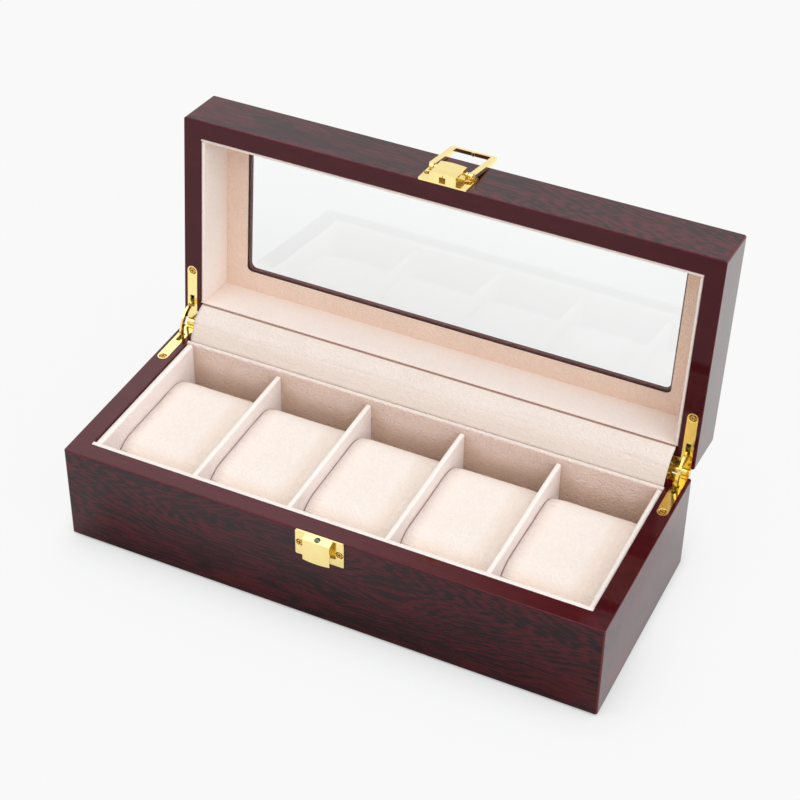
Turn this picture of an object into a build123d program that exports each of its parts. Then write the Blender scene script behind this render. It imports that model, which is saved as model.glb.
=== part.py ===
from build123d import *

import os
from math import asin, cos, degrees, radians, sin

# Display box for five wristwatches: a lacquered wooden case lined with velvet, five
# lift-out pillows, and a glazed lid on two gilt stay hinges, closed by a loop latch.
#
# Millimetres. X runs along the length, +Y to the back, +Z up. The origin is the centre
# of the felt underside of the base. The rest position is lid open. Lid pieces are drawn
# closed on the base, and open_lid() then swings them up about the hinge axis.

# --- Case: the driving sizes -----------------------------------------------------------
LENGTH = 305.0
DEPTH = 125.0
BASE_HEIGHT = 59.0  # table to the rim of the base
LID_HEIGHT = 31.5
WALL = 10.5
CORNER_RADIUS = 1.4
RIM_RADIUS = 0.6
BOTTOM_THICKNESS = 5.0
FELT_THICKNESS = 1.0
FELT_INSET = 2.5

# --- Lid ---------------------------------------------------------------------------------
LID_OPEN_ANGLE = 95.4
TOP_THICKNESS = 4.4
TOP_EDGE_RADIUS = 0.9
WINDOW_BORDER_X = 26.8  # outer end of the lid to the edge of the window
WINDOW_BORDER_Y = 25.4
WINDOW_RADIUS = 3.2
WINDOW_EDGE_RADIUS = 1.2
GLASS_THICKNESS = 1.8
GLASS_OVERLAP = 6.0  # the pane reaches this far under the wooden border
FIT = 0.1  # gap around a piece that drops into a recess
MAT_THICKNESS = 0.9
MAT_REVEAL = 1.5  # the velvet mat stops this far short of the window's edge
MAT_RADIUS = 3.2

# --- Linings, dividers and pillows -------------------------------------------------------
LINING = 3.8
LID_LINING = 2.0
LINING_DROP = 0.4  # long linings below the rim
SIDE_LINING_DROP = 1.4
FLOOR_LINING = 2.0
SLOTS = 5
DIVIDER = 3.0
DIVIDER_DROP = 4.6  # dividers below the rim
PILLOW_DROP = 11.5  # pillows below the rim
PILLOW_FRONT_GAP = 9.2  # front of a pillow to the front lining
PILLOW_BACK_GAP = 6.8
PILLOW_ROUNDING = 0.47  # radius of the rolled front and back, as a share of the height
PILLOW_END_RADIUS = 1.8
SOFT_GAP = 0.3  # pillow to what stands beside or below it

# --- Hinge cover, a velvet strip over the gap behind the pillows --------------------------
COVER_THICKNESS = 0.8
COVER_TUCK = 8.0  # length held between lining and wall, on each side of the rim
COVER_GAP = 0.15
COVER_BULGE = 12.2  # crown of the open cover from the hinge axis
COVER_END_GAP = 1.0  # ends of the cover to the side walls

# --- Stay hinges -------------------------------------------------------------------------
HINGE_STANDOFF = 2.8  # axis behind the back face
HINGE_RISE = 1.0  # axis above the rim of the base
KNUCKLE_RADIUS = 2.05
KNUCKLE_LENGTHS = (4.2, 4.6, 4.2)
KNUCKLE_GAP = 0.2
KNUCKLE_END = 2.1  # outer end of the barrel from the side of the case
PIN_RADIUS = 0.7
PIN_CLEARANCE = 0.05
LEAF_THICKNESS = 1.2
LEAF_WIDTH = 6.0
LEAF_EDGE = 2.0  # outer edge of a leaf from the side of the case
LEAF_LENGTH = 34.1  # rounded tip to the back face
SHORT_ARM_WIDTH = 5.6
SHORT_ARM_LENGTH = 16.0
SHORT_ARM_SCREW = 11.6  # its screw from the side of the case
STAY_RADIUS = 13.2
STAY_WIDTH = 3.0
STAY_THICKNESS = 1.2
STAY_FOOT_WIDTH = 4.0
STAY_FOOT_ANGLE = 6.0
STAY_FOOT_CLEARANCE = 0.2
SLOT_WIDTH = 2.6
SLOT_REACH = 4.9  # slot in the leaf beyond the middle of the stay, towards the front
SLOT_BACK = 2.3
MORTISE_WIDTH = 5.0
MORTISE_SPARE_ANGLE = 3.0

# --- Screws ------------------------------------------------------------------------------
HEAD_RADIUS = 2.1
SHANK_RADIUS = 0.9
SHANK_LENGTH = 5.5
CROSS_LENGTH = 3.0
CROSS_WIDTH = 0.7
CROSS_DEPTH = 0.8
SCREW_CLEARANCE = 0.2
HEAD_SINK = 0.15  # a screw's face below the face of its plate
HELD_CLEARANCE = 0.02  # round a shank or pin that is held fast

# --- Catch on the base and latch on the lid ------------------------------------------------
LATCH_X = -0.6
PLATE_LENGTH = 27.4
PLATE_HEIGHT = 15.8
PLATE_THICKNESS = 0.9
PLATE_RADIUS = 0.6
PLATE_SCREW_X = 11.2
PLATE_SCREW_DROP = 8.0  # screws of either plate from the rim
CATCH_WIDTH = 15.2
CATCH_REACH = 4.9  # front of the hook from the front of the case
CATCH_FALL = 1.1  # the hook's top slopes down this much
CATCH_LIP = 14.6  # bottom corners of the hook below the rim
CATCH_BELLY = 0.7  # its bottom edge bows down this much
STUD_RADIUS = 1.7
STUD_HEIGHT = 1.0
STUD_SHANK_RADIUS = 0.8
HOOD_WIDTH = 14.8
HOOD_DEPTH = 14.4
HOOD_HEIGHT = 6.3  # top of the hood from the front of the case
HOOD_CROWN = 0.5
NOTCH_WIDTH = 3.6
NOTCH_HEIGHT = 3.4
NOTCH_SLIT = 0.4
LUG_THICKNESS = 0.9
LUG_RADIUS = 1.5
LUG_OFFSET = 0.9  # clear space between hood and lug
PIVOT_RISE = 12.0  # loop pivot above the rim
PIVOT_REACH = 3.0  # loop pivot from the front of the case
LATCH_PIN_RADIUS = 0.75
LOOP_CLEARANCE = 0.75  # between lug and loop
EYE_RADIUS = 1.7
EYE_WIDTH = 2.25
ARM_WIDTH = 3.4
LOOP_BACK = 0.8  # loop's under face from the pivot plane
LOOP_THICKNESS = 2.0
LOOP_LENGTH = 30.6
LOOP_END = 0.8
BAR_WIDTH = 2.2
LOOP_RADIUS = 2.2
LOOP_LEAN = 6.3  # folded back, the loop leans this much towards the lid
NUB_RADIUS = 0.9
NUB_HEIGHT = 0.6

# --- Places worked out from the sizes ------------------------------------------------------
HALF_LENGTH = LENGTH / 2
HALF_DEPTH = DEPTH / 2
INNER_X = HALF_LENGTH - WALL
INNER_Y = HALF_DEPTH - WALL
RIM = BASE_HEIGHT
LID_TOP = BASE_HEIGHT + LID_HEIGHT
TOP_UNDERSIDE = LID_TOP - TOP_THICKNESS
FLOOR = FELT_THICKNESS + BOTTOM_THICKNESS + FLOOR_LINING
HINGE_Y = HALF_DEPTH + HINGE_STANDOFF
HINGE_Z = RIM + HINGE_RISE
HINGE_AXIS = Axis((0, HINGE_Y, HINGE_Z), (1, 0, 0))
LEAF_X = HALF_LENGTH - LEAF_EDGE - LEAF_WIDTH / 2
LEAF_TIP_Y = HALF_DEPTH - LEAF_LENGTH + LEAF_WIDTH / 2
WINDOW_X = HALF_LENGTH - WINDOW_BORDER_X
WINDOW_Y = HALF_DEPTH - WINDOW_BORDER_Y
INTO_BASE = -1  # from the rim down into the wood of the base
INTO_LID = 1
SIDES = {"left": -1, "right": 1}

os.makedirs("parts", exist_ok=True)


def open_lid(piece):
    """Swing a piece that was drawn on the closed lid up to the open rest position."""
    piece.part = piece.part.rotate(HINGE_AXIS, -LID_OPEN_ANGLE)


def save(piece, name):
    """Label a finished piece and write it to its own file."""
    piece.part.label = name
    export_step(piece.part, f"parts/{name}.step")


def face_out(x, y, z, direction):
    """A plane on a surface at (x, y, z), with its normal pointing out of the wood."""
    return Plane((x, y, z), x_dir=(1, 0, 0), z_dir=direction)


# --- Screws --------------------------------------------------------------------------------
HEAD_HEIGHT = HEAD_RADIUS - SHANK_RADIUS  # a 90 degree countersunk head
TOP_CENTER = (Align.CENTER, Align.CENTER, Align.MAX)


def countersunk_hole(seat):
    """Cut the hole for one screw through a plate whose outer face is the seat plane."""
    with Locations(seat):
        CounterSinkHole(
            radius=SHANK_RADIUS + SCREW_CLEARANCE,
            counter_sink_radius=HEAD_RADIUS + SCREW_CLEARANCE,
            counter_sink_angle=90,
        )


def pilot_hole(seat):
    """Cut the hole that one screw's shank fills in the wood under its plate."""
    with Locations(seat):
        CounterSinkHole(
            radius=SHANK_RADIUS + HELD_CLEARANCE,
            counter_sink_radius=HEAD_RADIUS + SCREW_CLEARANCE,
            depth=HEAD_SINK + HEAD_HEIGHT + SHANK_LENGTH,
            counter_sink_angle=90,
        )


def wood_screw(seat):
    """Add one cross-head countersunk screw, its head a little below the seat plane."""
    face = seat.offset(-HEAD_SINK)
    with Locations(face):
        Cone(SHANK_RADIUS, HEAD_RADIUS, HEAD_HEIGHT, align=TOP_CENTER)
    with Locations(face.offset(-HEAD_HEIGHT)):
        Cylinder(SHANK_RADIUS, SHANK_LENGTH, align=TOP_CENTER)
    with BuildSketch(face) as cross:
        Rectangle(CROSS_LENGTH, CROSS_WIDTH)
        Rectangle(CROSS_WIDTH, CROSS_LENGTH)
    extrude(cross.sketch, amount=-CROSS_DEPTH, mode=Mode.SUBTRACT)


def hinge_screw_seats(into):
    """Seat planes of the two screws of each leaf, on the base (-1) or on the lid (+1)."""
    out = (0, 0, -into)
    seats = []
    for side in SIDES.values():
        seats.append(face_out(side * LEAF_X, LEAF_TIP_Y, RIM, out))
        short_x = side * (HALF_LENGTH - SHORT_ARM_SCREW)
        seats.append(face_out(short_x, HALF_DEPTH - SHORT_ARM_WIDTH / 2, RIM, out))
    return seats


def plate_screw_seats(into):
    """Seat planes of the two screws of the catch plate (-1) or the latch plate (+1)."""
    y = -HALF_DEPTH - PLATE_THICKNESS
    z = RIM + into * PLATE_SCREW_DROP
    return [face_out(LATCH_X + side * PLATE_SCREW_X, y, z, (0, -1, 0)) for side in (-1, 1)]


# --- Hinge geometry shared by leaves, wood and stays ---------------------------------------
STAY_INNER = STAY_RADIUS - STAY_WIDTH / 2
STAY_OUTER = STAY_RADIUS + STAY_WIDTH / 2
LEAF_BACK_DROP = HINGE_RISE + LEAF_THICKNESS + STAY_FOOT_CLEARANCE
STAY_BURIED = degrees(asin(LEAF_BACK_DROP / STAY_INNER))  # from the axis level to the foot
STAY_HALF_ANGLE = LID_OPEN_ANGLE / 2 + STAY_BURIED + STAY_FOOT_ANGLE
SLOT_CENTER_Y = HINGE_Y - STAY_RADIUS + (SLOT_BACK - SLOT_REACH) / 2
FRONTWARD = 180.0  # angle of the -Y direction in a YZ sketch


def leaf_outline(side, gap=0.0):
    """L-shaped outline of a leaf: a long arm on the side rim, a short one on the back rim."""
    arm_y = (LEAF_TIP_Y + HALF_DEPTH) / 2
    short_y = HALF_DEPTH - SHORT_ARM_WIDTH / 2
    short_x = side * (HALF_LENGTH - LEAF_EDGE - SHORT_ARM_LENGTH / 2)
    with Locations((side * LEAF_X, arm_y)):
        Rectangle(LEAF_WIDTH + 2 * gap, HALF_DEPTH - LEAF_TIP_Y)
    with Locations((side * LEAF_X, LEAF_TIP_Y)):
        Circle(LEAF_WIDTH / 2 + gap)
    with Locations((short_x, short_y - gap / 2)):
        Rectangle(SHORT_ARM_LENGTH + 2 * gap, SHORT_ARM_WIDTH + gap)


def arc_band(inner, outer, start, size):
    """A band about the hinge axis, in a YZ sketch, from a start angle over a size."""
    center = (HINGE_Y, HINGE_Z)
    with BuildLine() as outline:
        far = CenterArc(center, outer, start, size)
        near = CenterArc(center, inner, start, size)
        Line(far @ 0, near @ 0)
        Line(far @ 1, near @ 1)
    make_face(outline.edges())


def cut_hinge_seats(into):
    """Cut both leaf recesses, the stay mortises and the screw holes into a ring of wood."""
    past_rim = 2 * degrees(asin(HINGE_RISE / STAY_INNER))
    sweep = past_rim + STAY_HALF_ANGLE + MORTISE_SPARE_ANGLE
    for side in SIDES.values():
        with BuildSketch(Plane.XY.offset(RIM)) as recess:
            leaf_outline(side, FIT)
        extrude(recess.sketch, amount=into * LEAF_THICKNESS, mode=Mode.SUBTRACT)
        with BuildSketch(Plane.YZ.offset(side * LEAF_X)) as mortise:
            slot_inner = STAY_RADIUS - SLOT_BACK
            slot_outer = STAY_RADIUS + SLOT_REACH
            arc_band(slot_inner, slot_outer, FRONTWARD + into * past_rim, -into * sweep)
        half_width = MORTISE_WIDTH / 2
        extrude(mortise.sketch, amount=half_width, both=True, mode=Mode.SUBTRACT)
    for seat in hinge_screw_seats(into):
        pilot_hole(seat)


def outer_uprights(ring):
    """The four vertical outer corner edges of a ring of walls."""
    return ring.edges().filter_by(Axis.Z).filter_by(lambda edge: abs(edge.center().X) > INNER_X)


def outer_edges_at(ring, height):
    """The outer edges of a ring of walls that lie at one height."""
    level = ring.edges().filter_by_position(Axis.Z, height - 0.01, height + 0.01)
    return level.filter_by(
        lambda edge: abs(edge.center().X) > INNER_X or abs(edge.center().Y) > INNER_Y
    )


# --- Wooden walls of the base and of the lid -----------------------------------------------
with BuildPart() as base_ring:
    with BuildSketch(Plane.XY.offset(FELT_THICKNESS)):
        Rectangle(LENGTH, DEPTH)
        Rectangle(2 * INNER_X, 2 * INNER_Y, mode=Mode.SUBTRACT)
    extrude(amount=BASE_HEIGHT - FELT_THICKNESS)
    fillet(outer_uprights(base_ring), CORNER_RADIUS)
    fillet(outer_edges_at(base_ring, RIM), RIM_RADIUS)
    fillet(outer_edges_at(base_ring, FELT_THICKNESS), RIM_RADIUS)
    cut_hinge_seats(INTO_BASE)
    for catch_seat in plate_screw_seats(INTO_BASE):
        pilot_hole(catch_seat)

with BuildPart() as lid_ring:
    with BuildSketch(Plane.XY.offset(RIM)):
        Rectangle(LENGTH, DEPTH)
        Rectangle(2 * INNER_X, 2 * INNER_Y, mode=Mode.SUBTRACT)
    extrude(amount=LID_HEIGHT - TOP_THICKNESS)
    fillet(outer_uprights(lid_ring), CORNER_RADIUS)
    fillet(outer_edges_at(lid_ring, RIM), RIM_RADIUS)
    cut_hinge_seats(INTO_LID)
    for latch_seat in plate_screw_seats(INTO_LID):
        pilot_hole(latch_seat)


WALL_ENDS = {
    "front": [(-1, -1), (1, -1)],
    "back": [(1, 1), (-1, 1)],
    "left": [(-1, 1), (-1, -1)],
    "right": [(1, -1), (1, 1)],
}


def wall_panel(ring, wall):
    """Cut one wall out of a ring along the 45 degree mitres at its two ends."""
    outer = [(x * HALF_LENGTH, y * HALF_DEPTH) for x, y in WALL_ENDS[wall]]
    inner = [(x * INNER_X, y * INNER_Y) for x, y in reversed(WALL_ENDS[wall])]
    with BuildPart() as panel:
        add(ring.part)
        with BuildSketch():
            with BuildLine():
                Polyline(*outer, *inner, close=True)
            make_face()
        extrude(amount=LID_TOP, mode=Mode.INTERSECT)
    return panel


for wall in WALL_ENDS:
    base_panel = wall_panel(base_ring, wall)
    save(base_panel, f"base_{wall}_panel")
    lid_panel = wall_panel(lid_ring, wall)
    open_lid(lid_panel)
    save(lid_panel, f"lid_{wall}_panel")

# --- Bottom of the base ----------------------------------------------------------------------
with BuildPart() as base_bottom_panel:
    with BuildSketch(Plane.XY.offset(FELT_THICKNESS)):
        Rectangle(2 * INNER_X, 2 * INNER_Y)
    extrude(amount=BOTTOM_THICKNESS)
save(base_bottom_panel, "base_bottom_panel")

with BuildPart() as base_felt:
    with BuildSketch(Plane.XY):
        RectangleRounded(LENGTH - 2 * FELT_INSET, DEPTH - 2 * FELT_INSET, CORNER_RADIUS)
    extrude(amount=FELT_THICKNESS)
save(base_felt, "base_felt")

# --- Linings of the base ---------------------------------------------------------------------
BACK_LINING = LINING - COVER_THICKNESS - 2 * COVER_GAP
LONG_LINING_TOP = RIM - LINING_DROP
SIDE_LINING_TOP = RIM - SIDE_LINING_DROP
CLEAR_X = INNER_X - LINING  # inner faces of the linings
CLEAR_Y = INNER_Y - LINING

with BuildPart() as base_floor_lining:
    with BuildSketch(Plane.XY.offset(FLOOR - FLOOR_LINING)):
        Rectangle(2 * INNER_X, 2 * INNER_Y)
    extrude(amount=FLOOR_LINING)
save(base_floor_lining, "base_floor_lining")


def long_lining(inner_y, outer_y, top):
    """A lining board along the whole length, its top edge rounded."""
    thickness = abs(outer_y - inner_y)
    with BuildPart() as lining:
        with BuildSketch(Plane.XY.offset(FLOOR)):
            with Locations((0, (inner_y + outer_y) / 2)):
                Rectangle(2 * INNER_X, thickness)
        extrude(amount=top - FLOOR)
        fillet(lining.edges().filter_by(Axis.X).group_by(Axis.Z)[-1], thickness * 0.4)
    return lining


def side_lining(side):
    """A lining board across one end, between the two long ones."""
    with BuildPart() as lining:
        with BuildSketch(Plane.XY.offset(FLOOR)):
            with Locations((side * (CLEAR_X + LINING / 2), 0)):
                Rectangle(LINING, 2 * CLEAR_Y)
        extrude(amount=SIDE_LINING_TOP - FLOOR)
        fillet(lining.edges().filter_by(Axis.Y).group_by(Axis.Z)[-1], LINING * 0.4)
    return lining


save(long_lining(-CLEAR_Y, -INNER_Y, LONG_LINING_TOP), "base_front_lining")
save(long_lining(CLEAR_Y, CLEAR_Y + BACK_LINING, LONG_LINING_TOP), "base_back_lining")
for name, side in SIDES.items():
    save(side_lining(side), f"base_{name}_lining")

# --- Dividers and pillows --------------------------------------------------------------------
SLOT_LENGTH = (2 * CLEAR_X - (SLOTS - 1) * DIVIDER) / SLOTS
SLOT_PITCH = SLOT_LENGTH + DIVIDER
DIVIDER_TOP = RIM - DIVIDER_DROP
PILLOW_BOTTOM = FLOOR + SOFT_GAP
PILLOW_HEIGHT = RIM - PILLOW_DROP - PILLOW_BOTTOM
PILLOW_DEPTH = 2 * CLEAR_Y - PILLOW_FRONT_GAP - PILLOW_BACK_GAP
PILLOW_Y = (PILLOW_FRONT_GAP - PILLOW_BACK_GAP) / 2

for number in range(1, SLOTS):
    divider_x = (number - SLOTS / 2) * SLOT_PITCH
    with BuildPart() as divider:
        with BuildSketch(Plane.XY.offset(FLOOR)):
            with Locations((divider_x, 0)):
                Rectangle(DIVIDER, 2 * CLEAR_Y)
        extrude(amount=DIVIDER_TOP - FLOOR)
        fillet(divider.edges().filter_by(Axis.Y).group_by(Axis.Z)[-1], DIVIDER * 0.4)
    save(divider, f"divider_{number}")

for number in range(1, SLOTS + 1):
    pillow_x = (number - (SLOTS + 1) / 2) * SLOT_PITCH
    pillow_length = SLOT_LENGTH - 2 * SOFT_GAP
    with BuildPart() as pillow:
        with BuildSketch(Plane.YZ.offset(pillow_x)):
            with Locations((PILLOW_Y, PILLOW_BOTTOM + PILLOW_HEIGHT / 2)):
                RectangleRounded(PILLOW_DEPTH, PILLOW_HEIGHT, PILLOW_ROUNDING * PILLOW_HEIGHT)
        extrude(amount=pillow_length / 2, both=True)
        fillet(pillow.faces().sort_by(Axis.X)[0].edges(), PILLOW_END_RADIUS)
        fillet(pillow.faces().sort_by(Axis.X)[-1].edges(), PILLOW_END_RADIUS)
    save(pillow, f"pillow_{number}")

# --- Top of the lid: wooden border, glass and velvet mat -----------------------------------------
with BuildPart() as lid_top_panel:
    with BuildSketch(Plane.XY.offset(TOP_UNDERSIDE)):
        RectangleRounded(LENGTH, DEPTH, CORNER_RADIUS)
    extrude(amount=TOP_THICKNESS)
    fillet(lid_top_panel.faces().sort_by(Axis.Z)[-1].edges(), TOP_EDGE_RADIUS)
    with BuildSketch(Plane.XY.offset(LID_TOP)):
        RectangleRounded(2 * WINDOW_X, 2 * WINDOW_Y, WINDOW_RADIUS)
    extrude(amount=-TOP_THICKNESS, mode=Mode.SUBTRACT)
    with BuildSketch(Plane.XY.offset(TOP_UNDERSIDE)):
        Rectangle(2 * (WINDOW_X + GLASS_OVERLAP + FIT), 2 * (WINDOW_Y + GLASS_OVERLAP + FIT))
    extrude(amount=GLASS_THICKNESS + FIT, mode=Mode.SUBTRACT)
    window_edges = lid_top_panel.edges().filter_by(
        lambda edge: abs(edge.center().X) < WINDOW_X + 0.01
        and abs(edge.center().Y) < WINDOW_Y + 0.01
    )
    fillet(window_edges.filter_by(Axis.Z, reverse=True), WINDOW_EDGE_RADIUS)
open_lid(lid_top_panel)
save(lid_top_panel, "lid_top_panel")

with BuildPart() as lid_glass:
    with BuildSketch(Plane.XY.offset(TOP_UNDERSIDE)):
        Rectangle(2 * (WINDOW_X + GLASS_OVERLAP), 2 * (WINDOW_Y + GLASS_OVERLAP))
    extrude(amount=GLASS_THICKNESS)
open_lid(lid_glass)
save(lid_glass, "lid_glass")

LID_CLEAR_X = INNER_X - LID_LINING
LID_CLEAR_Y = INNER_Y - LID_LINING

with BuildPart() as lid_velvet_mat:
    with BuildSketch(Plane.XY.offset(TOP_UNDERSIDE)):
        Rectangle(2 * LID_CLEAR_X, 2 * LID_CLEAR_Y)
        RectangleRounded(
            2 * (WINDOW_X + MAT_REVEAL),
            2 * (WINDOW_Y + MAT_REVEAL),
            MAT_RADIUS,
            mode=Mode.SUBTRACT,
        )
    extrude(amount=-MAT_THICKNESS)
open_lid(lid_velvet_mat)
save(lid_velvet_mat, "lid_velvet_mat")

# --- Linings of the lid ------------------------------------------------------------------------
LID_LINING_BOTTOM = RIM + LINING_DROP
LID_LINING_HEIGHT = TOP_UNDERSIDE - LID_LINING_BOTTOM
LID_BACK_LINING = LID_LINING - COVER_THICKNESS - 2 * COVER_GAP


def lid_lining(center, length, thickness, along):
    """A lining board inside one wall of the lid, its edge at the rim rounded."""
    size = (length, thickness) if along == Axis.X else (thickness, length)
    with BuildPart() as lining:
        with BuildSketch(Plane.XY.offset(LID_LINING_BOTTOM)):
            with Locations(center):
                Rectangle(*size)
        extrude(amount=LID_LINING_HEIGHT)
        fillet(lining.edges().filter_by(along).group_by(Axis.Z)[0], thickness * 0.4)
    open_lid(lining)
    return lining


front_middle = (0, -(LID_CLEAR_Y + LID_LINING / 2))
back_middle = (0, LID_CLEAR_Y + LID_BACK_LINING / 2)
save(lid_lining(front_middle, 2 * INNER_X, LID_LINING, Axis.X), "lid_front_lining")
save(lid_lining(back_middle, 2 * INNER_X, LID_BACK_LINING, Axis.X), "lid_back_lining")
for name, side in SIDES.items():
    end_middle = (side * (LID_CLEAR_X + LID_LINING / 2), 0)
    save(lid_lining(end_middle, 2 * LID_CLEAR_Y, LID_LINING, Axis.Y), f"lid_{name}_lining")

# --- Hinge cover: tucked behind both back linings, and bowed over the gap between them -----------
COVER_OUTER = HINGE_Y - INNER_Y + COVER_GAP + COVER_THICKNESS
COVER_INNER = COVER_OUTER - COVER_THICKNESS


def swung(reach, angle):
    """Where a point of the lid's rim plane, this far in front of the axis, swings to."""
    turn = radians(angle)
    y = HINGE_Y - reach * cos(turn) - HINGE_RISE * sin(turn)
    return y, HINGE_Z + reach * sin(turn) - HINGE_RISE * cos(turn)


def bowed_arc(reach, crown):
    """An arc from the base's rim to the lid's, its ends and crown this far from the axis."""
    middle = swung(crown, LID_OPEN_ANGLE / 2)
    return ThreePointArc(swung(reach, 0), middle, swung(reach, LID_OPEN_ANGLE))


with BuildPart() as hinge_cover:
    with BuildSketch(Plane.YZ):
        with BuildLine():
            front = bowed_arc(COVER_OUTER, COVER_BULGE)
            rear = bowed_arc(COVER_INNER, COVER_BULGE - COVER_THICKNESS)
            Line(front @ 0, rear @ 0)
            Line(front @ 1, rear @ 1)
        make_face()
    extrude(amount=INNER_X - COVER_END_GAP, both=True)
    tuck_y = HINGE_Y - (COVER_INNER + COVER_OUTER) / 2
    with BuildSketch(Plane.YZ):
        with Locations((tuck_y, RIM - COVER_TUCK / 2)):
            Rectangle(COVER_THICKNESS, COVER_TUCK)
    extrude(amount=INNER_X - COVER_END_GAP, both=True)
    with BuildSketch(Plane.YZ):
        with Locations(Location((HINGE_Y, HINGE_Z, 0), (0, 0, -LID_OPEN_ANGLE))):
            with Locations((tuck_y - HINGE_Y, COVER_TUCK / 2 - HINGE_RISE)):
                Rectangle(COVER_THICKNESS, COVER_TUCK)
    extrude(amount=INNER_X - COVER_END_GAP, both=True)
save(hinge_cover, "hinge_cover")

# --- Hinge leaves, pins and stays ------------------------------------------------------------------
BARREL_START = HALF_LENGTH - KNUCKLE_END
BARREL_LENGTH = sum(KNUCKLE_LENGTHS) + 2 * KNUCKLE_GAP


def knuckle_span(index):
    """Distances of one knuckle's outer and inner ends from the middle of the case."""
    outer = BARREL_START - sum(KNUCKLE_LENGTHS[:index]) - index * KNUCKLE_GAP
    return outer, outer - KNUCKLE_LENGTHS[index]


def hinge_leaf(side, into, knuckles, bore):
    """One leaf, let into the rim of the base (-1) or the lid (+1), with its knuckles."""
    with BuildPart() as leaf:
        with BuildSketch(Plane.XY.offset(RIM)):
            leaf_outline(side)
        extrude(amount=into * LEAF_THICKNESS)
        with BuildSketch(Plane.XY.offset(RIM)):
            with Locations((side * LEAF_X, SLOT_CENTER_Y)):
                Rectangle(SLOT_WIDTH, SLOT_REACH + SLOT_BACK)
        extrude(amount=into * LEAF_THICKNESS, mode=Mode.SUBTRACT)
        for seat in hinge_screw_seats(into):
            if seat.origin.X * side > 0:
                countersunk_hole(seat)
        tongue_height = LEAF_THICKNESS if into > 0 else KNUCKLE_RADIUS - HINGE_RISE
        tongue_y = (HALF_DEPTH - FIT + HINGE_Y) / 2
        for index in knuckles:
            outer, inner = knuckle_span(index)
            with BuildSketch(Plane.YZ.offset(side * outer)):
                with Locations((HINGE_Y, HINGE_Z)):
                    Circle(KNUCKLE_RADIUS)
                with Locations((tongue_y, RIM + into * tongue_height / 2)):
                    Rectangle(HINGE_Y - HALF_DEPTH + FIT, tongue_height)
                with Locations((HINGE_Y, HINGE_Z)):
                    Circle(bore, mode=Mode.SUBTRACT)
            extrude(amount=side * (inner - outer))
    return leaf


for name, side in SIDES.items():
    base_leaf = hinge_leaf(side, INTO_BASE, (0, 2), PIN_RADIUS + HELD_CLEARANCE)
    save(base_leaf, f"base_hinge_leaf_{name}")
    lid_leaf = hinge_leaf(side, INTO_LID, (1,), PIN_RADIUS + PIN_CLEARANCE)
    open_lid(lid_leaf)
    save(lid_leaf, f"lid_hinge_leaf_{name}")

    with BuildPart() as hinge_pin:
        with BuildSketch(Plane.YZ.offset(side * BARREL_START)):
            with Locations((HINGE_Y, HINGE_Z)):
                Circle(PIN_RADIUS)
        extrude(amount=-side * BARREL_LENGTH)
    save(hinge_pin, f"hinge_pin_{name}")

    with BuildPart() as stay:
        stay_start = FRONTWARD + STAY_HALF_ANGLE - LID_OPEN_ANGLE / 2
        with BuildSketch(Plane.YZ.offset(side * LEAF_X)):
            arc_band(STAY_INNER, STAY_OUTER, stay_start, -2 * STAY_HALF_ANGLE)
        extrude(amount=STAY_THICKNESS / 2, both=True)
        foot_starts = (stay_start, stay_start - 2 * STAY_HALF_ANGLE + STAY_FOOT_ANGLE)
        for foot_start in foot_starts:
            with BuildSketch(Plane.YZ.offset(side * LEAF_X)):
                arc_band(STAY_INNER, STAY_OUTER, foot_start, -STAY_FOOT_ANGLE)
            extrude(amount=STAY_FOOT_WIDTH / 2, both=True)
    save(stay, f"stay_{name}")

with BuildPart() as base_hinge_screws:
    for seat in hinge_screw_seats(INTO_BASE):
        wood_screw(seat)
save(base_hinge_screws, "base_hinge_screws")

with BuildPart() as lid_hinge_screws:
    for seat in hinge_screw_seats(INTO_LID):
        wood_screw(seat)
open_lid(lid_hinge_screws)
save(lid_hinge_screws, "lid_hinge_screws")

# --- Catch on the base: a plate folded over into a hook that opens downwards -----------------------
FRONT = Plane.XZ.offset(HALF_DEPTH)  # front face of the case, looking out
CATCH_FRONT = Plane.XZ.offset(HALF_DEPTH + CATCH_REACH)


def base_plate(into):
    """The flat plate of the catch (-1) or of the latch (+1), with its screw holes."""
    with BuildSketch(FRONT) as outline:
        with Locations((LATCH_X, RIM + into * PLATE_HEIGHT / 2)):
            RectangleRounded(PLATE_LENGTH, PLATE_HEIGHT, PLATE_RADIUS)
    extrude(outline.sketch, amount=PLATE_THICKNESS)
    for seat in plate_screw_seats(into):
        countersunk_hole(seat)


CATCH_SHOULDER = RIM - CATCH_FALL
FLANGE_RUN = CATCH_REACH - PLATE_THICKNESS
FLANGE_SLOPE = CATCH_FALL / FLANGE_RUN
FLANGE_NORMAL = (0, -FLANGE_SLOPE, 1)
STUD_Y = -HALF_DEPTH - (CATCH_REACH + PLATE_THICKNESS) / 2
STUD_BASE = face_out(LATCH_X, STUD_Y, RIM - CATCH_FALL / 2, FLANGE_NORMAL)

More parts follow.
